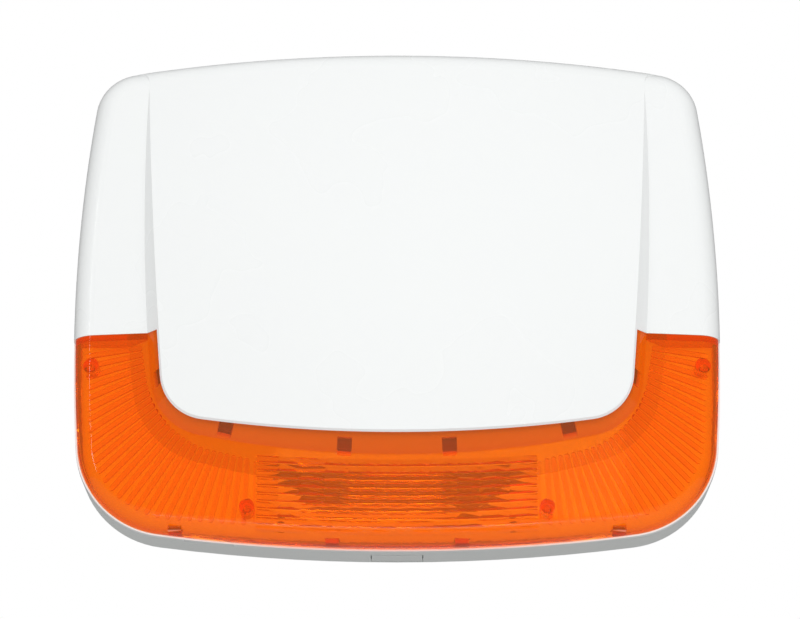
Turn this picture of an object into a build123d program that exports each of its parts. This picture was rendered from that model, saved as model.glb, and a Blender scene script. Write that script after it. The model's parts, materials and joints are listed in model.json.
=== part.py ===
from build123d import *
import os
from math import cos, hypot, radians, sqrt, tan

# Outdoor alarm siren. Millimetres, +X right, +Z up, the front faces -Y.
# The origin is the centre of the wall face of the base, and the wall is the plane Y = 0.

# outline shared by the base and the cover
TOP_Z = 114.0
BOTTOM_Z = -111.0
TOP_CORNER = (133.4, 108.0)
BOTTOM_CORNER = (137.0, -99.3)
SIDE_MID = (142.2, -15.0)
TOP_CORNER_R = 20.0
BOTTOM_CORNER_R = 42.0

# base housing
BASE_DEPTH = 17.7
BASE_WALL = 2.5
BASE_FLOOR = 2.5

# front cover
COVER_BACK = 18.0
COVER_WALL = 2.5
WING_R = 1000.0
WING_APEX = 43.0
WING_Z = 25.0
EDGE_R = 11.0
PANEL_R = 600.0
PANEL_APEX = 52.0
PANEL_Z = 5.0
PANEL_EDGE_R = 9.0
PANEL_SLOPE = 40.0
PANEL_REF = 42.0
PANEL_TOP = (97.6, 150.0)
PANEL_MID = (106.8, 60.0)
PANEL_CORNER = (99.1, -52.9)
PANEL_BOTTOM = -69.0
PANEL_CORNER_R = 24.0

# lens and the ledge that it stands on
SEAM_Z = -17.0
LEDGE_FRONT = 21.5
LEDGE_BACK = 19.3
LENS_WALL = 2.2
LENS_INSET = 0.8
LENS_GAP = 0.15
LIP = 0.9
RIB_H = 1.7
RIB_W = 2.1
FAN_RIBS = 27
CROSS_RIBS = 10
CROSS_PITCH = 3.3
CROSS_TOP = -75.6
CROSS_HALF = 60.3
CROSS_RISE = 2.4
CROSS_R = 1.5
POSTS = [(-133.3, -30.0), (-64.5, -93.5), (64.5, -93.5), (133.3, -30.0)]
POST_R = 3.25
INNER_HOOKS = [(102.0, -37.0, 60.0), (74.0, -61.0, 20.0), (22.5, -67.5, 4.0)]
OUTER_HOOKS = [(95.5, -102.5), (27.8, -107.6)]
HOOK_W = 5.8
STATUS_LED = (50.0, -96.4)
WINDOW = [(-58.0, -75.5), (58.0, -75.5), (34.0, -94.0), (-34.0, -94.0)]

# hinge along the top edge
HINGE_Z = 110.0
HINGE_X = 48.0
PIN_R = 1.0
KNUCKLE_R = 2.3
KNUCKLE_W = 6.0

# lock screw and its flap in the underside
FLAP_W = 22.0
FLAP_BACK = 1.9
FLAP_FRONT = 13.9
FLAP_AXIS_Y = -3.0
FLAP_AXIS_Z = -109.9
SCREW_Y = -8.5
ROOF_Z = -102.0

# boards and what stands on the base
BOARD_Y = 14.0
BOARD_T = 1.6
BOARD_X = (4.0, 94.0)
BOARD_Z = (0.0, 92.0)
HORN_X = -46.0
HORN_Z = 50.0
HORN_R = 40.0
CELL_R = 7.2
CELL_LEN = 49.0
BATTERY_X = -45.0
BATTERY_Z = -26.0
STROBE_Y = 8.0
CABLE_X = 46.0
CABLE_Z = -30.0
CABLE_R = 9.0
WALL_TAMPER = (84.0, 62.0)
COVER_TAMPER = (84.0, 40.0)
RESET = (72.0, 14.0)
WALL_HOLES = (98.0, 68.0)
WALL_HOLE_R = 2.75


def at_depth(depth):
    """Sketch plane that faces the front, a distance in front of the wall."""
    return Plane.XZ.offset(depth)


def mirror_pair(shape):
    return [shape, mirror(shape, Plane.YZ)]


def block(x0, x1, d0, d1, z0, z1):
    """Box between two x, two depths in front of the wall and two z."""
    box = Box(x1 - x0, d1 - d0, z1 - z0)
    return Pos((x0 + x1) / 2, -(d0 + d1) / 2, (z0 + z1) / 2) * box


def rod(x, z, d0, d1, r):
    """Round bar along Y between two depths."""
    return extrude(at_depth(d0) * Pos(x, z) * Circle(r), d1 - d0)


def cross_rod(x0, x1, depth, z, r):
    """Round bar along X."""
    return Pos((x0 + x1) / 2, -depth, z) * Rot(0, 90, 0) * Cylinder(r, x1 - x0)


def upright(x, depth, z0, z1, r):
    """Round bar along Z."""
    return Pos(x, -depth, (z0 + z1) / 2) * Cylinder(r, z1 - z0)


def circle_through(mid, end):
    """Centre height and radius of an arc centred on x = 0."""
    rise = end[1] - mid
    radius = (end[0] ** 2 + rise ** 2) / (2 * abs(rise))
    centre = mid + radius if rise > 0 else mid - radius
    return centre, radius


def side_circle(a, m, b):
    """Centre and radius of the right-hand side arc through three points."""
    ax, az = a[0] - m[0], a[1] - m[1]
    bx, bz = b[0] - m[0], b[1] - m[1]
    d = 2 * (ax * bz - az * bx)
    qa = ax * ax + az * az
    qb = bx * bx + bz * bz
    ux = (bz * qa - az * qb) / d
    uz = (ax * qb - bx * qa) / d
    return m[0] + ux, m[1] + uz, hypot(ux, uz)


def crossing(side, centre, radius, low):
    """Where the side circle meets one centred on x = 0, on the right."""
    sx, sz, sr = side
    dx, dz = -sx, centre - sz
    gap = hypot(dx, dz)
    along = (sr ** 2 - radius ** 2 + gap ** 2) / (2 * gap)
    off = sqrt(sr ** 2 - along ** 2)
    px, pz = sx + along * dx / gap, sz + along * dz / gap
    hits = [(px - off * dz / gap, pz + off * dx / gap),
            (px + off * dz / gap, pz - off * dx / gap)]
    hits = [p for p in hits if p[0] > 0]
    return min(hits, key=lambda p: p[1]) if low else max(hits, key=lambda p: p[1])


def round_low_corners(face, radius):
    return fillet(face.vertices().sort_by(Axis.Y)[:2], radius)


def outline(inset=0.0):
    """The outline of the siren seen from the front, set in all round."""
    sx, sz, sr = side_circle(TOP_CORNER, SIDE_MID, BOTTOM_CORNER)
    side = (sx, sz, sr - inset)
    top_z, top_r = circle_through(TOP_Z, TOP_CORNER)
    low_z, low_r = circle_through(BOTTOM_Z, BOTTOM_CORNER)
    tx, tz = crossing(side, top_z, top_r - inset, False)
    bx, bz = crossing(side, low_z, low_r - inset, True)
    mx = sx + sr - inset
    edges = [
        ThreePointArc((-tx, tz), (0, TOP_Z - inset), (tx, tz)),
        ThreePointArc((tx, tz), (mx, sz), (bx, bz)),
        ThreePointArc((bx, bz), (0, BOTTOM_Z + inset), (-bx, bz)),
        ThreePointArc((-bx, bz), (-mx, sz), (-tx, tz)),
    ]
    face = round_low_corners(make_face(edges), BOTTOM_CORNER_R - inset)
    high = face.vertices().sort_by(Axis.Y)[-2:]
    return fillet(high, TOP_CORNER_R - inset)


def panel_outline(inset=0.0):
    """The raised panel at its reference depth, run out past the top edge."""
    sx, sz, sr = side_circle(PANEL_TOP, PANEL_MID, PANEL_CORNER)
    side = (sx, sz, sr - inset)
    low_z, low_r = circle_through(PANEL_BOTTOM, PANEL_CORNER)
    bx, bz = crossing(side, low_z, low_r - inset, True)
    mx = sx + sr - inset
    tz = PANEL_TOP[1]
    tx = sx + sqrt((sr - inset) ** 2 - (tz - sz) ** 2)
    edges = [
        Line((-tx, tz), (tx, tz)),
        ThreePointArc((tx, tz), (mx, sz), (bx, bz)),
        ThreePointArc((bx, bz), (0, PANEL_BOTTOM + inset), (-bx, bz)),
        ThreePointArc((-bx, bz), (-mx, sz), (-tx, tz)),
    ]
    return round_low_corners(make_face(edges), PANEL_CORNER_R - inset)


def prism(inset, d0, d1):
    return extrude(at_depth(d0) * outline(inset), d1 - d0)


def panel_wedge(wall=0.0, d0=15.0, d1=54.0):
    """The sloping flank of the raised panel, set inside itself by a wall."""
    slope = radians(PANEL_SLOPE)
    shift = wall / cos(slope)
    wide = panel_outline(shift - (PANEL_REF - d0) * tan(slope))
    narrow = panel_outline(shift + (d1 - PANEL_REF) * tan(slope))
    return loft([at_depth(d0) * wide, at_depth(d1) * narrow], ruled=True)


def ball(radius, apex, z, inset):
    return Pos(0, radius - apex, z) * Sphere(radius - inset)


def front_edges(solid, depth):
    """Edges around the front face of a domed body."""
    found = []
    for edge in solid.edges():
        mid = edge @ 0.5
        if mid.Y < -depth and abs((edge % 0.5).Y) < 0.6:
            found.append(edge)
    return found


def wing_body(inset, d0, edge_inset=None):
    """The lower front surface: wings and lens face."""
    if edge_inset is None:
        edge_inset = inset
    solid = prism(edge_inset, 2, 60) & ball(WING_R, WING_APEX, WING_Z, inset)
    solid = fillet(front_edges(solid, 4), EDGE_R - edge_inset)
    return solid - block(-200, 200, 0, d0, -200, 200)


def panel_body(inset, d0):
    """The raised panel in front of the wings."""
    solid = prism(inset, d0, 60) & ball(PANEL_R, PANEL_APEX, PANEL_Z, inset)
    solid = fillet(front_edges(solid, d0 + 2), PANEL_EDGE_R - inset)
    return solid & panel_wedge(inset)


def below(z):
    """Half space under a height."""
    return block(-200, 200, -10, 90, -200, z)


def hook_box(x, z, turn, wide, low, high):
    """Box for a snap hook, standing square to the flank of the panel."""
    plate = Box(wide, high - low, 14.0)
    return Pos(x, -(low + high) / 2, z) * Rot(0, turn, 0) * plate


def front_cover():
    back = COVER_BACK
    mass = (wing_body(0, back) - panel_wedge(0)) + panel_body(0, back)
    room = wing_body(COVER_WALL, back - 1) + panel_body(COVER_WALL, back - 1)

    # the step for the lens, with a lip of the panel over its inner wall
    flank = LENS_WALL + LENS_GAP
    cap = ball(PANEL_R, PANEL_APEX, PANEL_Z, LIP)
    lip = panel_wedge(0) - cap
    step = below(SEAM_Z) & block(-200, 200, LEDGE_FRONT, 90, -200, 200)
    step = step - panel_wedge(flank) - lip
    thick = LEDGE_FRONT - LEDGE_BACK
    floor = below(SEAM_Z + thick) & block(-200, 200, LEDGE_BACK, 90, -200, 200)
    floor = floor - panel_wedge(flank + thick)
    cover = mass - step - (room - floor)

    # window for the strobe, and holes for the status lights and the lens
    window = extrude(at_depth(15) * make_face(Polyline(*WINDOW, close=True)), 12)
    cover = cover - window
    for side in (-1, 1):
        cover = cover - rod(side * STATUS_LED[0], STATUS_LED[1], 15, 26, 1.6)
        for x, z in OUTER_HOOKS:
            slot = block(-HOOK_W / 2 - 0.3, HOOK_W / 2 + 0.3, 18.5, 26, z - 1.1, z + 1.5)
            cover = cover - Pos(side * x, 0, 0) * slot
        for x, z, turn in INNER_HOOKS:
            gap = hook_box(side * x, z, -side * turn, HOOK_W + 0.6, 34.3, 42.0)
            reach = panel_wedge(0.5) - panel_wedge(7.0)
            cover = cover - (gap & reach & cap)
    for x, z in POSTS:
        cover = cover - rod(x, z, 18.5, 26, 1.7)

    # lug that the lock screw enters, ribs behind it
    lug = block(-7, 7, 4.5, LEDGE_BACK + 0.5, -98.5, -96.5)
    lug = fillet(lug.edges().filter_by(Axis.Z).sort_by(Axis.Y)[-2:], 3.0)
    web = block(-7, -5.6, 13.5, LEDGE_BACK + 0.5, -99.5, -94.1)
    cover = cover + lug + web + mirror(web, Plane.YZ)
    cover = cover - upright(0, -SCREW_Y, -100, -95, 2.35)

    # post that presses the cover tamper
    x, z = COVER_TAMPER
    cover = cover + rod(x, z, 29.3, 44, 2.6)

    # ribs that stiffen the panel from inside
    for rx in (-60.0, 0.0, 60.0):
        rib = block(rx - 0.8, rx + 0.8, 38, 60, -50, 100)
        rib = rib & panel_body(1, back)
        shallow = rib - ball(PANEL_R, PANEL_APEX, PANEL_Z, COVER_WALL + 3.0)
        cover = cover + shallow

    # hinge knuckles and the notches that let the base's knuckles pass
    for side in (-1, 1):
        hx = side * HINGE_X
        for px in (-1, 1):
            x0 = hx + px * (KNUCKLE_W + 0.3)
            notch = cross_rod(x0 - 3.4, x0 + 3.4, COVER_BACK, HINGE_Z, KNUCKLE_R + 0.4)
            rear = block(x0 - 3.4, x0 + 3.4, COVER_BACK - 2, 20.7, HINGE_Z, HINGE_Z + 6)
            cover = cover - notch - rear
        knuckle = cross_rod(hx - 3, hx + 3, COVER_BACK, HINGE_Z, KNUCKLE_R)
        arm = block(hx - 3, hx + 3, COVER_BACK, 24, HINGE_Z - 2.2, HINGE_Z + 1.6)
        arm = arm & prism(0.3, 10, 40)
        cover = cover + (knuckle & prism(0, 5, 40)) + arm
        cover = cover - cross_rod(hx - 9, hx + 9, COVER_BACK, HINGE_Z, PIN_R + 0.05)
    return cover


def fan_ribs():
    """Ribs that fan out round one corner of the lens, from ends on two curves."""
    outer = Wire([
        Line((-63.5, -101.4), (-97.0, -98.2)),
        ThreePointArc((-97.0, -98.2), (-122.6, -86.2), (-133.8, -60.0)),
        Line((-133.8, -60.0), (-135.6, -23.5)),
    ])
    inner = Wire([
        Line((-63.0, -73.2), (-82.0, -68.5)),
        ThreePointArc((-82.0, -68.5), (-100.2, -55.5), (-109.0, -36.0)),
        Line((-109.0, -36.0), (-111.3, -21.5)),
    ])
    ribs = []
    for i in range(FAN_RIBS):
        t = (i + 0.5) / FAN_RIBS
        a = inner @ t
        b = outer @ t
        mid = (a + b) / 2
        run = b - a
        turn = Vector(1, 0, 0).get_signed_angle(run, Vector(0, 0, 1))
        ribs.append(Pos(mid.X, mid.Y) * Rot(0, 0, turn) * SlotOverall(run.length, RIB_W))
    return ribs


def face_depth(x, z):
    """Depth of the inside of the lens face."""
    return WING_APEX - LENS_WALL - (x * x + (z - WING_Z) ** 2) / (2 * WING_R)


def cross_ribs():
    """Round curved ribs across the strobe window."""
    ribs = []
    for i in range(CROSS_RIBS):
        z = CROSS_TOP - i * CROSS_PITCH
        end = z + CROSS_RISE
        edge = face_depth(CROSS_HALF, end) + 0.3
        left = (-CROSS_HALF, -edge, end)
        right = (CROSS_HALF, -edge, end)
        path = ThreePointArc(left, (0, -face_depth(0, z) - 0.3, z), right)
        start = Plane(origin=path @ 0, z_dir=path % 0)
        ribs.append(sweep(start * Circle(CROSS_R), path=path))
    return ribs


def lens():
    front = LEDGE_FRONT + LENS_GAP
    top = SEAM_Z - 0.2
    zone = below(top)
    skin = wing_body(0, front, LENS_INSET)
    core = wing_body(LENS_WALL, front - 1, LENS_INSET + LENS_WALL)
    core = core & below(top - LENS_WALL)
    cap = ball(PANEL_R, PANEL_APEX, PANEL_Z, LIP + LENS_GAP)
    flank = (panel_wedge(0) - panel_wedge(LENS_WALL)) & cap
    flank = flank & prism(LENS_INSET, front, 60)
    body = ((skin - core) & zone) - panel_wedge(LENS_WALL)
    inner = (flank & zone) - core
    body = body + inner

    # ribs on the inside of the face
    sheet = wing_body(LENS_WALL - 0.4, front, LENS_INSET + 1)
    sheet = sheet - ball(WING_R, WING_APEX, WING_Z, LENS_WALL + RIB_H)
    sheet = sheet - panel_wedge(LENS_WALL - 0.5)
    left = [extrude(at_depth(20) * rib, 30) for rib in fan_ribs()]
    fan = Compound(left)
    fan = sheet & fan
    bars = Rectangle(0.9, 26)
    ends = [Pos(side * (CROSS_HALF + 0.9), -87.5) * bars for side in (-1, 1)]
    ends = sheet & Compound([extrude(at_depth(20) * end, 30) for end in ends])
    for group in mirror_pair(fan) + [ends]:
        body = body + group
    for rib in cross_ribs():
        body = body + (rib - panel_wedge(LENS_WALL - 0.5))

    # posts for the screws from behind, hooks round both walls
    room = wing_body(LENS_WALL - 0.4, front - 1, LENS_INSET + LENS_WALL)
    for x, z in POSTS:
        body = body + (rod(x, z, front, 45, POST_R) & room)
    for x, z in POSTS:
        body = body - rod(x, z, front - 1, front + 5.5, 1.3)
    for side in (-1, 1):
        for x, z in OUTER_HOOKS:
            tab = block(-HOOK_W / 2, HOOK_W / 2, 18.6, 29, z - 0.8, z + 1.2)
            tab = Pos(side * x, 0, 0) * tab
            body = body + tab
        for x, z, turn in INNER_HOOKS:
            peg = hook_box(side * x, z, -side * turn, HOOK_W, 34.6, 41.7)
            reach = (panel_wedge(LENS_WALL - 0.4) - panel_wedge(5.0)) & cap
            body = body + (peg & reach)
    return body


def lens_screws():
    screws = []
    for x, z in POSTS:
        head = rod(x, z, 17.6, LEDGE_BACK - 0.02, 2.7)
        shank = rod(x, z, LEDGE_BACK - 0.1, 26.0, 1.22)
        slot = block(x - 1.6, x + 1.6, 17, 18.3, z - 0.35, z + 0.35)
        bar = block(x - 0.35, x + 0.35, 17, 18.3, z - 1.6, z + 1.6)
        screws.append(head + shank - slot - bar)
    return Compound(screws)


def ring_post(x, z, d0, d1, r, hole):
    return rod(x, z, d0, d1, r) - rod(x, z, d0 + 1.0, d1 + 1, hole)


def board_points():
    x0, x1 = BOARD_X
    z0, z1 = BOARD_Z
    return [(x0 + 4, z0 + 4), (x1 - 4, z0 + 4), (x0 + 4, z1 - 4), (x1 - 4, z1 - 4)]


def strobe_points():
    return [(-57.0, -78.5), (57.0, -78.5), (-24.0, -97.0), (24.0, -97.0)]


def horn_points():
    reach = (HORN_R + 5) * 0.7071
    return [(HORN_X - reach, HORN_Z + reach), (HORN_X + reach, HORN_Z + reach),
            (HORN_X - reach, HORN_Z - reach), (HORN_X + reach, HORN_Z - reach)]


def bracket_points():
    return [(BATTERY_X, BATTERY_Z + 29.0), (BATTERY_X, BATTERY_Z - 29.0)]


def base_housing():
    shell = prism(0, 0, BASE_DEPTH) - prism(BASE_WALL, BASE_FLOOR, BASE_DEPTH + 1)
    face = shell.faces().sort_by(Axis.Y)[-1]
    shell = chamfer(face.outer_wire().edges(), 0.6)

    # the front edge of the top wall is relieved for the swing of the cover
    relief = block(-125, 125, 13.2, BASE_DEPTH + 1, 97, TOP_Z + 4)
    lip = prism(7.6, 1, 17.0) - prism(9.2, 0, 18.0)
    lip = lip & block(-96, 96, 0, 18, 90, TOP_Z + 4)
    shell = shell - relief + lip

    # sound slots low down in both side walls, out of sight from the front
    for i in range(6):
        z = 20.0 + i * 11.0
        shell = shell - block(-150, 150, 6.5, 12.5, z, z + 5.0)

    # fixing holes, cable entry, hole and guide for the wall tamper
    for side in (-1, 1):
        for z in (-WALL_HOLES[1], WALL_HOLES[1]):
            x = side * WALL_HOLES[0]
            shell = shell + rod(x, z, 1, 4.5, 6.0)
            shell = shell - rod(x, z, -1, 6, WALL_HOLE_R)
    shell = shell - rod(CABLE_X, CABLE_Z, -1, 5, CABLE_R)
    x, z = WALL_TAMPER
    shell = shell + rod(x, z, 1, 5.5, 4.5)
    shell = shell - rod(x, z, -1, 7, 2.05)

    # posts for the boards, the horn and the battery bracket
    for x, z in board_points():
        shell = shell + ring_post(x, z, 2, BOARD_Y, 3.2, 1.05)
    for x, z in strobe_points():
        shell = shell + ring_post(x, z, 2, STROBE_Y, 2.6, 0.85)
    for x, z in horn_points():
        shell = shell + ring_post(x, z, 2, 8.0, 3.2, 1.05)
    for x, z in bracket_points():
        shell = shell + ring_post(x, z, 2, 8.0, 3.2, 1.05)

    # battery cradle
    for x in (BATTERY_X - 50.6, BATTERY_X + 49.4):
        shell = shell + block(x, x + 1.2, 2, 9, BATTERY_Z - 16, BATTERY_Z + 16)

    # pocket for the lock screw behind the flap
    half = FLAP_W / 2
    pocket = block(-half - 2, half + 2, 1, 16.0, -110, ROOF_Z + 2)
    cut = block(-half + 0.9, half - 0.9, 2.5, 13.0, -113, ROOF_Z)
    mouth = block(-half - 0.4, half + 0.4, FLAP_BACK - 0.4, FLAP_FRONT + 0.4, -113, -108.7)
    shell = shell + (pocket & prism(0.5, 0, 17))
    shell = shell - cut - mouth
    shell = shell - upright(0, -SCREW_Y, -104, -98, 2.05)
    for side in (-1, 1):
        eye = cross_rod(half - 0.5, half + 1.6, -FLAP_AXIS_Y, FLAP_AXIS_Z, 0.85)
        shell = shell - (eye if side > 0 else mirror(eye, Plane.YZ))

    # hinge knuckles either side of the cover's
    for side in (-1, 1):
        hx = side * HINGE_X
        for px in (-1, 1):
            x0 = hx + px * (KNUCKLE_W + 0.3)
            knuckle = cross_rod(x0 - 3, x0 + 3, COVER_BACK, HINGE_Z, KNUCKLE_R)
            arm = block(x0 - 3, x0 + 3, 12.0, COVER_BACK, HINGE_Z - 2.1, HINGE_Z + 1.7)
            shell = shell + (knuckle & prism(0, 5, 40)) + (arm & prism(0.3, 5, 40))
        gap = cross_rod(hx - 3.3, hx + 3.3, COVER_BACK, HINGE_Z, KNUCKLE_R + 0.4)
        room = block(hx - 3.3, hx + 3.3, COVER_BACK - 5, COVER_BACK + 1, 102.0, TOP_Z + 4)
        shell = shell - (gap + room)
        shell = shell - cross_rod(hx - 9.7, hx + 9.7, COVER_BACK, HINGE_Z, PIN_R + 0.03)
    return shell


def hinge_pins():
    pins = []
    for side in (-1, 1):
        hx = side * HINGE_X
        pins.append(cross_rod(hx - 9.6, hx + 9.6, COVER_BACK, HINGE_Z, PIN_R))
    return Compound(pins)


def cable_grommet():
    skin = rod(CABLE_X, CABLE_Z, 0.2, 5.0, CABLE_R - 0.1)
    front = rod(CABLE_X, CABLE_Z, BASE_FLOOR + 0.02, 5.0, CABLE_R + 2.0)
    bore = rod(CABLE_X, CABLE_Z, -1, 6, 4.0)
    cone = Pos(CABLE_X, -7.0, CABLE_Z) * Rot(90, 0, 0) * Cone(7.0, 5.0, 4.4)
    return skin + front + cone - bore - rod(CABLE_X, CABLE_Z, -1, 12, 4.0)


def screw_flap():
    half = FLAP_W / 2
    plate = block(-half, half, FLAP_BACK, FLAP_FRONT, -112, -109)
    plate = plate & prism(0, 0, 20)
    trim = block(-half - 1, half + 1, FLAP_BACK - 1, 3.0, -112, -108)
    spine = cross_rod(-half, half, -FLAP_AXIS_Y, FLAP_AXIS_Z, 1.0)
    plate = plate - trim + spine
    notch = block(-2.0, 2.0, FLAP_FRONT - 0.8, FLAP_FRONT + 1, -112, -110.3)
    plate = plate - notch
    trunnion = cross_rod(half - 0.4, half + 1.3, -FLAP_AXIS_Y, FLAP_AXIS_Z, 0.8)
    return plate + trunnion + mirror(trunnion, Plane.YZ)


def lock_screw():
    head = upright(0, -SCREW_Y, -108.6, -106.1, 3.6)
    shank = upright(0, -SCREW_Y, -106.2, -99.5, 2.0)
    tip = shank.edges().sort_by(Axis.Z)[-1]
    shank = chamfer(tip, 0.6)
    cross = block(-2.2, 2.2, -SCREW_Y - 0.45, -SCREW_Y + 0.45, -109, -107.3)
    bar = block(-0.45, 0.45, -SCREW_Y - 2.2, -SCREW_Y + 2.2, -109, -107.3)
    return head + shank - cross - bar


def main_board():
    x0, x1 = BOARD_X
    z0, z1 = BOARD_Z
    board = block(x0, x1, BOARD_Y + 0.02, BOARD_Y + BOARD_T, z0, z1)
    board = fillet(board.edges().filter_by(Axis.Y), 2.0)
    for x, z in board_points():
        board = board - rod(x, z, 10, 20, 1.6)
    return board


def pan_screws(points, seat, r_head, r_shank, length):
    """Pan-head screws whose heads sit on a face at a depth."""
    screws = []
    for x, z in points:
        head = rod(x, z, seat + 0.02, seat + 1.7, r_head)
        shank = rod(x, z, seat - length, seat + 0.1, r_shank)
        slot = block(x - r_head * 0.6, x + r_head * 0.6, seat + 1.0, seat + 3, z - 0.35, z + 0.35)
        bar = block(x - 0.35, x + 0.35, seat + 1.0, seat + 3, z - r_head * 0.6, z + r_head * 0.6)
        screws.append(head + shank - slot - bar)
    return Compound(screws)


BOARD_FACE = BOARD_Y + BOARD_T + 0.02


def terminal_block():
    """Eight-way terminal block along the lower edge of the board."""
    body = block(16, 57, BOARD_FACE, BOARD_FACE + 10, 3, 11)
    body = chamfer(body.edges().filter_by(Axis.X).sort_by(Axis.Y)[:2], 1.5)
    for i in range(8):
        x = 18.7 + i * 5.1
        body = body - rod(x, 8.0, BOARD_FACE + 3, BOARD_FACE + 11, 1.9)
        body = body - block(x - 1.6, x + 1.6, BOARD_FACE + 1.5, BOARD_FACE + 5, 2, 8)
    return body


def terminal_screws():
    screws = []
    for i in range(8):
        x = 18.7 + i * 5.1
        head = rod(x, 8.0, BOARD_FACE + 5.2, BOARD_FACE + 8.2, 1.75)
        slot = block(x - 2, x + 2, BOARD_FACE + 7.4, BOARD_FACE + 9, 7.7, 8.3)
        screws.append(head - slot)
    return Compound(screws)


def power_relay():
    body = block(10, 26, BOARD_FACE, BOARD_FACE + 13, 60, 80)
    body = fillet(body.edges().filter_by(Axis.Y), 1.2)
    return fillet(body.faces().sort_by(Axis.Y)[0].edges(), 0.7)


def capacitors():
    cans = []
    for x, z, r, h in ((34, 72, 5.0, 16), (46.5, 72, 5.0, 16), (34, 58, 4.0, 11)):
        can = rod(x, z, BOARD_FACE, BOARD_FACE + h, r)
        can = fillet(can.faces().sort_by(Axis.Y)[0].edges(), 0.6)
        groove = rod(x, z, BOARD_FACE + 1.6, BOARD_FACE + 2.4, r + 1)
        groove = groove - rod(x, z, BOARD_FACE, BOARD_FACE + 4, r - 0.4)
        cans.append(can - groove)
    return Compound(cans)


def drive_transformer():
    core = block(54, 76, BOARD_FACE, BOARD_FACE + 15, 68, 88)
    window = block(58, 72, BOARD_FACE - 1, BOARD_FACE + 16, 72, 84)
    return core - window


def drive_winding():
    coil = block(58.6, 71.4, BOARD_FACE + 1.5, BOARD_FACE + 13.5, 72.6, 83.4)
    return fillet(coil.edges().filter_by(Axis.Z), 3.0)


def microcontroller():
    body = block(38, 50, BOARD_FACE, BOARD_FACE + 1.6, 36, 48)
    for i in range(9):
        o = 39.6 + i * 1.1
        body = body + block(o, o + 0.5, BOARD_FACE, BOARD_FACE + 0.7, 34.8, 49.2)
        v = 37.6 + i * 1.1
        body = body + block(36.8, 51.2, BOARD_FACE, BOARD_FACE + 0.7, v, v + 0.5)
    return body


HEADERS = [(8.0, 18.0), (8.0, 34.0), (8.0, 50.0)]


def lead_headers():
    shells = []
    for x, z in HEADERS:
        body = block(x - 1, x + 5, BOARD_FACE, BOARD_FACE + 7, z, z + 8)
        body = body - block(x - 2, x + 3.6, BOARD_FACE + 1.2, BOARD_FACE + 8, z + 1, z + 7)
        shells.append(body)
    return Compound(shells)


def mode_switches():
    body = block(56, 68, BOARD_FACE, BOARD_FACE + 4, 30, 36)
    for i in range(4):
        x = 57.7 + i * 2.5
        body = body - block(x, x + 1.3, BOARD_FACE + 3, BOARD_FACE + 5, 31, 35)
        body = body + block(x + 0.1, x + 1.2, BOARD_FACE + 2.9, BOARD_FACE + 4.8, 31.3, 32.8)
    return body


def reset_switch():
    x, z = RESET
    body = block(x - 3, x + 3, BOARD_FACE, BOARD_FACE + 3.6, z - 3, z + 3)
    body = fillet(body.edges().filter_by(Axis.Y), 0.6)
    return body - rod(x, z, BOARD_FACE + 2.0, BOARD_FACE + 6, 1.8)


def reset_button():
    x, z = RESET
    cap = rod(x, z, BOARD_FACE + 2.6, BOARD_FACE + 5.6, 1.75)
    return fillet(cap.faces().sort_by(Axis.Y)[0].edges(), 0.3)


def cover_tamper_switch():
    x, z = COVER_TAMPER
    body = block(x - 6, x + 6, BOARD_FACE, BOARD_FACE + 8, z - 3.2, z + 3.2)
    body = fillet(body.edges().filter_by(Axis.Y), 0.8)
    return body - rod(x, z, BOARD_FACE + 3, BOARD_FACE + 10, 1.65)


def cover_tamper_plunger():
    x, z = COVER_TAMPER
    tip = BOARD_FACE + 13.3
    pin = rod(x, z, BOARD_FACE + 4.5, tip, 1.6)
    return fillet(pin.faces().sort_by(Axis.Y)[0].edges(), 0.6)


def wall_tamper_switch():
    x, z = WALL_TAMPER
    body = block(x - 3.5, x + 3.5, 11.2, BOARD_Y, z - 3.5, z + 3.5)
    return body + rod(x, z, 10.6, 11.4, 1.2)


def wall_tamper_plunger():
    x, z = WALL_TAMPER
    pin = rod(x, z, 0, 8.2, 2.0)
    flange = rod(x, z, 5.8, 6.9, 4.0)
    return pin + flange


def wall_tamper_spring():
    x, z = WALL_TAMPER
    pitch = 1.2
    turns = Helix(pitch=pitch, height=3.6, radius=2.9)
    wire = Plane(origin=turns @ 0, z_dir=turns % 0) * Circle(0.25)
    coil = sweep(wire, path=turns)
    return Pos(x, -7.2, z) * Rot(90, 0, 0) * coil


def sounder_horn():
    """Round horn housing with a shallow bell inside."""
    body = rod(HORN_X, HORN_Z, 8.05, 12.0, HORN_R + 1.0)
    for x, z in horn_points():
        body = body + rod(x, z, 8.05, 11.0, 4.2)
        mid_x = (x + HORN_X) / 2
        mid_z = (z + HORN_Z) / 2
        turn = -45 if (x - HORN_X) * (z - HORN_Z) > 0 else 45
        arm = Box(44, 2.95, 8.0)
        body = body + Pos(mid_x, -9.525, mid_z) * Rot(0, turn, 0) * arm
    bell = rod(HORN_X, HORN_Z, 11.0, 32.0, HORN_R)
    bell = fillet(bell.faces().sort_by(Axis.Y)[0].edges(), 3.0)
    body = body + bell
    body = body - rod(HORN_X, HORN_Z, 16.0, 29.5, HORN_R - 2.2)
    body = body - rod(HORN_X, HORN_Z, 5.0, 17.0, HORN_R - 6.0)
    for ring in (8.0, 16.0, 24.0):
        groove = rod(HORN_X, HORN_Z, 28, 34, ring + 2.4) - rod(HORN_X, HORN_Z, 27, 35, ring)
        bars = block(HORN_X - 45, HORN_X + 45, 26, 36, HORN_Z - 1.5, HORN_Z + 1.5)
        bars = bars + block(HORN_X - 1.5, HORN_X + 1.5, 26, 36, HORN_Z - 45, HORN_Z + 45)
        body = body - (groove - bars)
    for x, z in horn_points():
        body = body - rod(x, z, 5, 16, 1.6)
    return body


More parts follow.
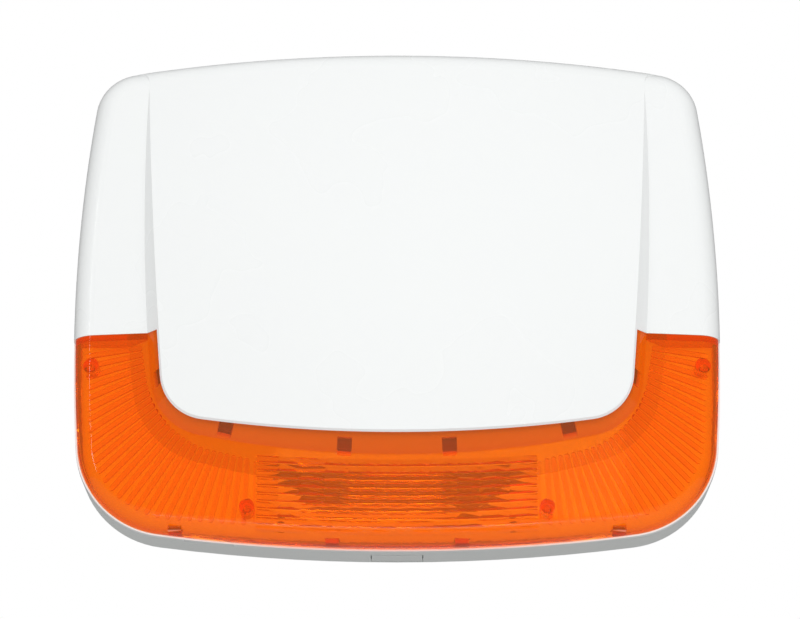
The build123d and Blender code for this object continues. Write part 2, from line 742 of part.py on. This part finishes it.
def sounder_disc():
    """Driver behind the grille: a rim, a cone and a magnet can."""
    rim = rod(HORN_X, HORN_Z, 16.1, 18.0, HORN_R - 2.4)
    dome = Pos(HORN_X, -13.2, HORN_Z) * Rot(90, 0, 0) * Cone(17, 30, 5.6)
    magnet = rod(HORN_X, HORN_Z, 3.6, 11.0, 17)
    hollow = Pos(HORN_X, -17.2, HORN_Z) * Rot(90, 0, 0) * Cone(11, 28, 4.0)
    return rim + dome + magnet - hollow


def battery_cells():
    cells = []
    for row in (-1, 0, 1):
        for col in (-1, 1):
            x = BATTERY_X + col * (CELL_LEN / 2 + 0.4)
            z = BATTERY_Z + row * (CELL_R * 2 + 0.2)
            can = cross_rod(x - CELL_LEN / 2, x + CELL_LEN / 2, 2.7 + CELL_R, z, CELL_R)
            can = fillet(can.edges().filter_by(GeomType.CIRCLE), 0.8)
            cells.append(can)
    return Compound(cells)


def battery_bracket():
    """Strap over the cells with a foot at each end."""
    top = 2.7 + 2 * CELL_R + 0.2
    x0 = BATTERY_X - 6
    x1 = BATTERY_X + 6
    strap = block(x0, x1, top, top + 1.4, BATTERY_Z - 25, BATTERY_Z + 25)
    for side in (-1, 1):
        z0 = BATTERY_Z + side * 24.3
        leg = block(x0, x1, 8.05, top + 1.4, z0 - 0.7, z0 + 0.7)
        foot_z = BATTERY_Z + side * 28.6
        foot = block(x0, x1, 8.05, 9.45, foot_z - 5.0, foot_z + 5.0)
        strap = strap + leg + foot
    for x, z in bracket_points():
        strap = strap - rod(x, z, 5, 12, 1.6)
    return strap


def strobe_board():
    board = block(-62, 62, STROBE_Y + 0.02, STROBE_Y + 1.6, -99.3, -75.5)
    board = fillet(board.edges().filter_by(Axis.Y), 1.5)
    board = board - block(-14.2, 14.2, 0, 20, -105, -94.9)
    for x, z in strobe_points():
        board = board - rod(x, z, 5, 12, 1.3)
    return board


STROBE_FACE = STROBE_Y + 1.62
LED_X = (-37.5, -22.5, -7.5, 7.5, 22.5, 37.5)


def strobe_leds():
    lights = []
    for x in LED_X:
        z = -84.2
        lamp = block(x - 2.6, x + 2.6, STROBE_FACE, STROBE_FACE + 1.2, z - 2.6, z + 2.6)
        dome = Pos(x, -STROBE_FACE - 0.9, z) * Sphere(2.2)
        dome = dome & block(x - 3, x + 3, STROBE_FACE + 0.9, STROBE_FACE + 5, z - 3, z + 3)
        lights.append(lamp + dome)
    return Compound(lights)


def strobe_reflector():
    """Tray behind the window with a sloping wall all round."""
    wide = [(-54.5, -76.3), (54.5, -76.3), (33.6, -93.4), (-33.6, -93.4)]
    deep = [(-46.0, -79.6), (46.0, -79.6), (31.0, -90.2), (-31.0, -90.2)]
    outer = extrude(at_depth(STROBE_FACE) * make_face(Polyline(*wide, close=True)), 7.9)
    mouth = at_depth(STROBE_FACE + 7.91) * make_face(Polyline(*wide, close=True))
    mouth = offset(mouth, -1.0)
    seat = at_depth(STROBE_FACE + 1.4) * make_face(Polyline(*deep, close=True))
    tray = outer - loft([seat, mouth], ruled=True)
    for x in LED_X:
        tray = tray - rod(x, -84.2, STROBE_FACE - 1, STROBE_FACE + 3, 3.8)
    for x in (-57.0, 57.0):
        tray = tray - rod(x, -78.5, STROBE_FACE - 1, STROBE_FACE + 12, 2.6)
    return tray


def status_leds():
    lights = []
    for side in (-1, 1):
        x = side * STATUS_LED[0]
        z = STATUS_LED[1]
        lamp = rod(x, z, STROBE_FACE, STROBE_FACE + 5.5, 1.45)
        lamp = fillet(lamp.faces().sort_by(Axis.Y)[0].edges(), 1.2)
        lights.append(lamp + rod(x, z, STROBE_FACE, STROBE_FACE + 1, 1.8))
    return Compound(lights)


def lead_pair(route, bend, r=0.6):
    """Two insulated wires side by side along one route."""
    wires = []
    for side in (-1, 1):
        shift = side * 0.8
        points = [(x + shift, -d, z + shift) for x, d, z in route]
        path = FilletPolyline(*points, radius=bend)
        start = Plane(origin=path @ 0, z_dir=path % 0)
        wires.append(sweep(start * Circle(r), path=path))
    return wires


def lead(header_z, route, bend=2.5):
    """A plug in its header with the wires that run from it."""
    depth = BOARD_FACE + 3.85
    plug = block(6.4, 11.5, BOARD_FACE + 1.3, depth + 2.5, header_z + 1.2, header_z + 6.8)
    start = [(5.6, depth, header_z + 4.0), (-0.4, depth, header_z + 4.0)]
    wires = lead_pair(start + route, bend)
    for i, side in enumerate((-1, 1)):
        wires[i] = wires[i] - block(6.39, 12, 10, 30, header_z, header_z + 8)
    return Compound([plug] + wires)


def battery_lead():
    return lead(HEADERS[0][1], [(-0.4, 9.9, 22.0), (-0.4, 9.9, -2.9)])


def sounder_lead():
    return lead(HEADERS[2][1], [(-0.4, 5.4, 54.0), (-28.1, 5.4, 54.0)])


def strobe_lead():
    route = [(-0.4, 4.9, 38.0), (15.0, 4.9, 22.6), (15.0, 4.9, -86.0), (15.0, 7.95, -86.0)]
    return lead(HEADERS[1][1], route, bend=2.2)


NODES = {
    "base_housing": base_housing,
    "hinge_pins": hinge_pins,
    "cable_grommet": cable_grommet,
    "screw_flap": screw_flap,
    "lock_screw": lock_screw,
    "front_cover": front_cover,
    "lens": lens,
    "lens_screws": lens_screws,
    "main_board": main_board,
    "board_screws": lambda: pan_screws(board_points(), BOARD_FACE, 2.7, 1.0, 9),
    "terminal_block": terminal_block,
    "terminal_screws": terminal_screws,
    "power_relay": power_relay,
    "capacitors": capacitors,
    "drive_transformer": drive_transformer,
    "drive_winding": drive_winding,
    "microcontroller": microcontroller,
    "lead_headers": lead_headers,
    "mode_switches": mode_switches,
    "reset_switch": reset_switch,
    "reset_button": reset_button,
    "cover_tamper_switch": cover_tamper_switch,
    "cover_tamper_plunger": cover_tamper_plunger,
    "wall_tamper_switch": wall_tamper_switch,
    "wall_tamper_plunger": wall_tamper_plunger,
    "wall_tamper_spring": wall_tamper_spring,
    "sounder_horn": sounder_horn,
    "sounder_disc": sounder_disc,
    "sounder_screws": lambda: pan_screws(horn_points(), 11.0, 2.7, 1.0, 7),
    "battery_cells": battery_cells,
    "battery_bracket": battery_bracket,
    "bracket_screws": lambda: pan_screws(bracket_points(), 9.45, 2.7, 1.0, 6),
    "strobe_board": strobe_board,
    "strobe_leds": strobe_leds,
    "strobe_reflector": strobe_reflector,
    "strobe_screws": lambda: pan_screws(strobe_points(), STROBE_FACE, 2.2, 0.8, 5),
    "status_leds": status_leds,
    "battery_lead": battery_lead,
    "sounder_lead": sounder_lead,
    "strobe_lead": strobe_lead,
}

os.makedirs("parts", exist_ok=True)
for name, make in NODES.items():
    export_step(make(), "parts/" + name + ".step")
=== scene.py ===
import json
import math
import bpy
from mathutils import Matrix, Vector

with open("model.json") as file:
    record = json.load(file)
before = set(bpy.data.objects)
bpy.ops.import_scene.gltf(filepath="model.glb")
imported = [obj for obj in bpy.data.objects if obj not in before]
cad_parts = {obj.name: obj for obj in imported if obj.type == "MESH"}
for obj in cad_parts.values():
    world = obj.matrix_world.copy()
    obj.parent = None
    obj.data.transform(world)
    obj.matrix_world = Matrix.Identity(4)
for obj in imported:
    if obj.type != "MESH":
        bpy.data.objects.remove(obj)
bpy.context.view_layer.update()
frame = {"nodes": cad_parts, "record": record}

# The photograph's view: from below, straight on, through a long lens.
VIEW_ELEVATION = math.radians(-18)
VIEW_DISTANCE = 1.25
LENS_MM = 128.2
SENSOR_MM = 36.0
AIM = Vector((0, -0.030, -0.009))
SHIFT = (0.00375, 0.0131)

FLOOR_Z = -0.9
FLOOR_RADIUS = 4.0

# How bright the white surroundings are to the eye, to matt faces and in reflections
WORLD_SEEN = 1.0
WORLD_DIFFUSE = 0.72
WORLD_GLOSSY = 0.18

COVER_WHITE = (0.83, 0.845, 0.842)
# the base is the same white plastic as the cover; its colour is set a little darker as painted
# shade for the shaded underside
BASE_WHITE_PAINTED_SHADE = (0.76, 0.78, 0.77)

LENS_IOR = 1.49
LENS_HAZE = 0.22
LENS_DENSITY = 900.0


# ---------------------------------------------------------------- materials

def new_material(name):
    """An empty node material with its principled shader already on the output."""
    material = bpy.data.materials.new(name)
    material.use_nodes = True
    nodes = material.node_tree.nodes
    return material, nodes, material.node_tree.links, nodes["Principled BSDF"]


def object_noise(nodes, links, scale, detail=3.0):
    """Noise that sits still on the object, in metres."""
    place = nodes.new("ShaderNodeTexCoord")
    noise = nodes.new("ShaderNodeTexNoise")
    noise.inputs["Scale"].default_value = scale
    noise.inputs["Detail"].default_value = detail
    links.new(place.outputs["Object"], noise.inputs["Vector"])
    return noise


def ramp(nodes, links, source, low, high, start=0.35, end=0.65):
    blend = nodes.new("ShaderNodeValToRGB")
    blend.color_ramp.elements[0].position = start
    blend.color_ramp.elements[0].color = low
    blend.color_ramp.elements[1].position = end
    blend.color_ramp.elements[1].color = high
    links.new(source, blend.inputs["Fac"])
    return blend


def bump(nodes, links, source, shader, strength, distance):
    node = nodes.new("ShaderNodeBump")
    node.inputs["Strength"].default_value = strength
    node.inputs["Distance"].default_value = distance
    links.new(source, node.inputs["Height"])
    links.new(node.outputs["Normal"], shader.inputs["Normal"])


def uneven_gloss(nodes, links, source, shader, low, high):
    """Roughness that wanders between two values."""
    gloss = nodes.new("ShaderNodeMapRange")
    gloss.inputs["To Min"].default_value = low
    gloss.inputs["To Max"].default_value = high
    links.new(source, gloss.inputs["Value"])
    links.new(gloss.outputs["Result"], shader.inputs["Roughness"])


def tint(color, factor):
    return (color[0] * factor, color[1] * factor, color[2] * factor, 1)


def moulded(name, color, rough=0.4, grain=900.0, depth=0.00003, strength=0.25, coat=0.0,
            drift_low=0.965):
    """Moulded plastic: faint colour drift, slightly uneven gloss and a fine skin."""
    material, nodes, links, shader = new_material(name)
    drift = object_noise(nodes, links, 14.0)
    shade = ramp(nodes, links, drift.outputs["Fac"],
                 tint(color, drift_low), tint(color, 1.0), 0.2, 0.8)
    links.new(shade.outputs["Color"], shader.inputs["Base Color"])
    uneven_gloss(nodes, links, drift.outputs["Fac"], shader, rough * 0.85, rough * 1.15)
    skin = object_noise(nodes, links, grain, 2.0)
    bump(nodes, links, skin.outputs["Fac"], shader, strength, depth)
    shader.inputs["Coat Weight"].default_value = coat
    shader.inputs["Coat Roughness"].default_value = 0.06
    return material


def metal(name, color, rough=0.3, streak=260.0):
    material, nodes, links, shader = new_material(name)
    shader.inputs["Metallic"].default_value = 1.0
    drift = object_noise(nodes, links, streak, 4.0)
    shade = ramp(nodes, links, drift.outputs["Fac"], tint(color, 0.82), tint(color, 1.0))
    links.new(shade.outputs["Color"], shader.inputs["Base Color"])
    uneven_gloss(nodes, links, drift.outputs["Fac"], shader, rough * 0.75, rough * 1.3)
    bump(nodes, links, drift.outputs["Fac"], shader, 0.15, 0.00004)
    return material


def amber_lens(name):
    """Clear amber plastic: it deepens to red where the light runs a long way in it."""
    material, nodes, links, shader = new_material(name)
    shader.inputs["Transmission Weight"].default_value = 1.0
    shader.inputs["IOR"].default_value = LENS_IOR
    shader.inputs["Roughness"].default_value = 0.03
    drift = object_noise(nodes, links, 9.0)
    shade = ramp(nodes, links, drift.outputs["Fac"], (1.0, 0.66, 0.16, 1), (1.0, 0.70, 0.18, 1))
    links.new(shade.outputs["Color"], shader.inputs["Base Color"])
    waves = object_noise(nodes, links, 120.0, 2.0)
    bump(nodes, links, waves.outputs["Fac"], shader, 0.05, 0.0001)

    # a little of the light is scattered in the plastic itself
    haze = nodes.new("ShaderNodeBsdfDiffuse")
    haze.inputs["Color"].default_value = (0.95, 0.20, 0.002, 1)
    body = nodes.new("ShaderNodeMixShader")
    body.inputs["Fac"].default_value = LENS_HAZE
    links.new(shader.outputs["BSDF"], body.inputs[1])
    links.new(haze.outputs["BSDF"], body.inputs[2])

    # shadow and diffuse rays go straight through, so what is behind it stays lit
    clear = nodes.new("ShaderNodeBsdfTransparent")
    clear.inputs["Color"].default_value = (1.0, 0.84, 0.4, 1)
    path = nodes.new("ShaderNodeLightPath")
    either = nodes.new("ShaderNodeMath")
    either.operation = "MAXIMUM"
    links.new(path.outputs["Is Shadow Ray"], either.inputs[0])
    links.new(path.outputs["Is Diffuse Ray"], either.inputs[1])
    mix = nodes.new("ShaderNodeMixShader")
    links.new(either.outputs[0], mix.inputs["Fac"])
    links.new(body.outputs["Shader"], mix.inputs[1])
    links.new(clear.outputs["BSDF"], mix.inputs[2])
    links.new(mix.outputs["Shader"], nodes["Material Output"].inputs["Surface"])

    depth = nodes.new("ShaderNodeVolumeAbsorption")
    depth.inputs["Color"].default_value = (0.998, 0.79, 0.0, 1)
    depth.inputs["Density"].default_value = LENS_DENSITY
    links.new(depth.outputs["Volume"], nodes["Material Output"].inputs["Volume"])
    return material


def circuit_board(name):
    """Solder mask with faint tracks under it."""
    material, nodes, links, shader = new_material(name)
    place = nodes.new("ShaderNodeTexCoord")
    tracks = nodes.new("ShaderNodeTexBrick")
    tracks.inputs["Scale"].default_value = 130.0
    tracks.inputs["Mortar Size"].default_value = 0.05
    tracks.inputs["Color1"].default_value = (0.012, 0.13, 0.055, 1)
    tracks.inputs["Color2"].default_value = (0.015, 0.16, 0.07, 1)
    tracks.inputs["Mortar"].default_value = (0.03, 0.27, 0.12, 1)
    turn = nodes.new("ShaderNodeMapping")
    turn.inputs["Rotation"].default_value = (math.radians(90), 0, 0)
    links.new(place.outputs["Object"], turn.inputs["Vector"])
    links.new(turn.outputs["Vector"], tracks.inputs["Vector"])
    links.new(tracks.outputs["Color"], shader.inputs["Base Color"])
    bump(nodes, links, tracks.outputs["Fac"], shader, 0.2, 0.00005)
    shader.inputs["Roughness"].default_value = 0.35
    return material


def make_materials():
    return {
        "cover_white": moulded("cover_white", COVER_WHITE, 0.28, 1400.0, 0.00001, 0.15,
                               coat=0.35, drift_low=0.992),
        # base and flap: white plastic tinted darker than the cover, a painted shade
        "base_plastic": moulded("base_plastic", BASE_WHITE_PAINTED_SHADE, 0.45),
        "flap_plastic": moulded("flap_plastic", BASE_WHITE_PAINTED_SHADE, 0.42),
        "lens_amber": amber_lens("lens_amber"),
        "steel": metal("steel", (0.62, 0.62, 0.60)),
        "spring_steel": metal("spring_steel", (0.5, 0.5, 0.5), 0.25),
        "rubber_black": moulded("rubber_black", (0.02, 0.02, 0.02), 0.75, 500.0),
        "board_green": circuit_board("board_green"),
        "terminal_green": moulded("terminal_green", (0.03, 0.33, 0.10), 0.45),
        "part_black": moulded("part_black", (0.02, 0.02, 0.022), 0.5),
        "can_black": moulded("can_black", (0.02, 0.02, 0.04), 0.3),
        "core_grey": metal("core_grey", (0.14, 0.14, 0.15), 0.55),
        "copper": metal("copper", (0.72, 0.28, 0.10), 0.35, 900.0),
        "header_white": moulded("header_white", (0.72, 0.69, 0.60), 0.5),
        "switch_blue": moulded("switch_blue", (0.02, 0.09, 0.42), 0.4),
        "button_red": moulded("button_red", (0.5, 0.02, 0.015), 0.4),
        "horn_black": moulded("horn_black", (0.025, 0.025, 0.028), 0.6, 420.0, 0.0001, 0.6),
        "disc_grey": metal("disc_grey", (0.25, 0.25, 0.26), 0.4),
        "cell_sleeve": moulded("cell_sleeve", (0.015, 0.20, 0.07), 0.25),
        "bracket_plastic": moulded("bracket_plastic", (0.70, 0.71, 0.69), 0.5),
        "led_clear": moulded("led_clear", (0.50, 0.42, 0.24), 0.15),
        "reflector_dark": moulded("reflector_dark", (0.22, 0.145, 0.10), 0.35),
        "led_red": moulded("led_red", (0.42, 0.02, 0.01), 0.15),
        "lead_red": moulded("lead_red", (0.5, 0.02, 0.015), 0.45),
        "lead_black": moulded("lead_black", (0.02, 0.02, 0.02), 0.45),
        "lead_grey": moulded("lead_grey", (0.34, 0.34, 0.35), 0.5),
    }


def dress_nodes(materials):
    """Every CAD node gets the material of its slot."""
    slot_of = {s["node"]: s["material_slot"] for s in frame["record"]["subparts"]}
    for name, node in frame["nodes"].items():
        node.data.materials.clear()
        node.data.materials.append(materials[slot_of[name]])


# ---------------------------------------------------------------- stage

def make_floor():
    bpy.ops.mesh.primitive_circle_add(vertices=96, radius=FLOOR_RADIUS, fill_type="NGON")
    floor = bpy.context.object
    floor.name = "studio_floor"
    floor.location = (0, 0, FLOOR_Z)
    floor.data.materials.append(moulded("floor_pale", (0.58, 0.58, 0.575), 0.8, 30.0))


def area_light(name, place, size, power, mirrored=True):
    """Soft light aimed at the part; one that isn't mirrored shows in no reflection."""
    data = bpy.data.lights.new(name, "AREA")
    data.shape = "RECTANGLE"
    data.size, data.size_y = size
    data.energy = power
    light = bpy.data.objects.new(name, data)
    light.location = place
    light.rotation_euler = (-Vector(place)).to_track_quat("-Z", "Y").to_euler()
    light.visible_glossy = mirrored
    bpy.context.scene.collection.objects.link(light)


def make_world():
    """White all round, kept dim in reflections."""
    world = bpy.data.worlds.new("studio_white")
    bpy.context.scene.world = world
    world.use_nodes = True
    nodes = world.node_tree.nodes
    links = world.node_tree.links
    path = nodes.new("ShaderNodeLightPath")
    lit = nodes.new("ShaderNodeMapRange")
    lit.inputs["To Min"].default_value = WORLD_SEEN
    lit.inputs["To Max"].default_value = WORLD_DIFFUSE
    links.new(path.outputs["Is Diffuse Ray"], lit.inputs["Value"])
    level = nodes.new("ShaderNodeMapRange")
    level.inputs["To Max"].default_value = WORLD_GLOSSY
    links.new(path.outputs["Is Glossy Ray"], level.inputs["Value"])
    links.new(lit.outputs["Result"], level.inputs["To Min"])
    links.new(level.outputs["Result"], nodes["Background"].inputs["Strength"])
    nodes["Background"].inputs["Color"].default_value = (1, 1, 1, 1)


def make_lights():
    """Soft lights in front and two thin strips that draw the edges."""
    area_light("front_soft", (0.15, -2.0, 0.1), (1.0, 1.0), 18.5, mirrored=False)
    area_light("right_soft", (1.4, -1.4, 0.1), (0.3, 1.2), 1.5, mirrored=False)
    area_light("low_strip", (0.0, -1.5, -0.9), (1.6, 0.15), 1.5)
    area_light("left_strip", (-1.2, -1.3, 0.3), (0.08, 1.0), 1.2)


def make_camera():
    look = Vector((0, math.cos(VIEW_ELEVATION), -math.sin(VIEW_ELEVATION)))
    data = bpy.data.cameras.new("photo_view")
    data.lens = LENS_MM
    data.sensor_width = SENSOR_MM
    data.shift_x, data.shift_y = SHIFT
    camera = bpy.data.objects.new("photo_view", data)
    camera.location = AIM - VIEW_DISTANCE * look
    camera.rotation_euler = look.to_track_quat("-Z", "Y").to_euler()
    bpy.context.scene.collection.objects.link(camera)
    bpy.context.scene.camera = camera


dress_nodes(make_materials())
make_floor()
make_world()
make_lights()
make_camera()
bpy.context.scene.view_settings.view_transform = "Standard"
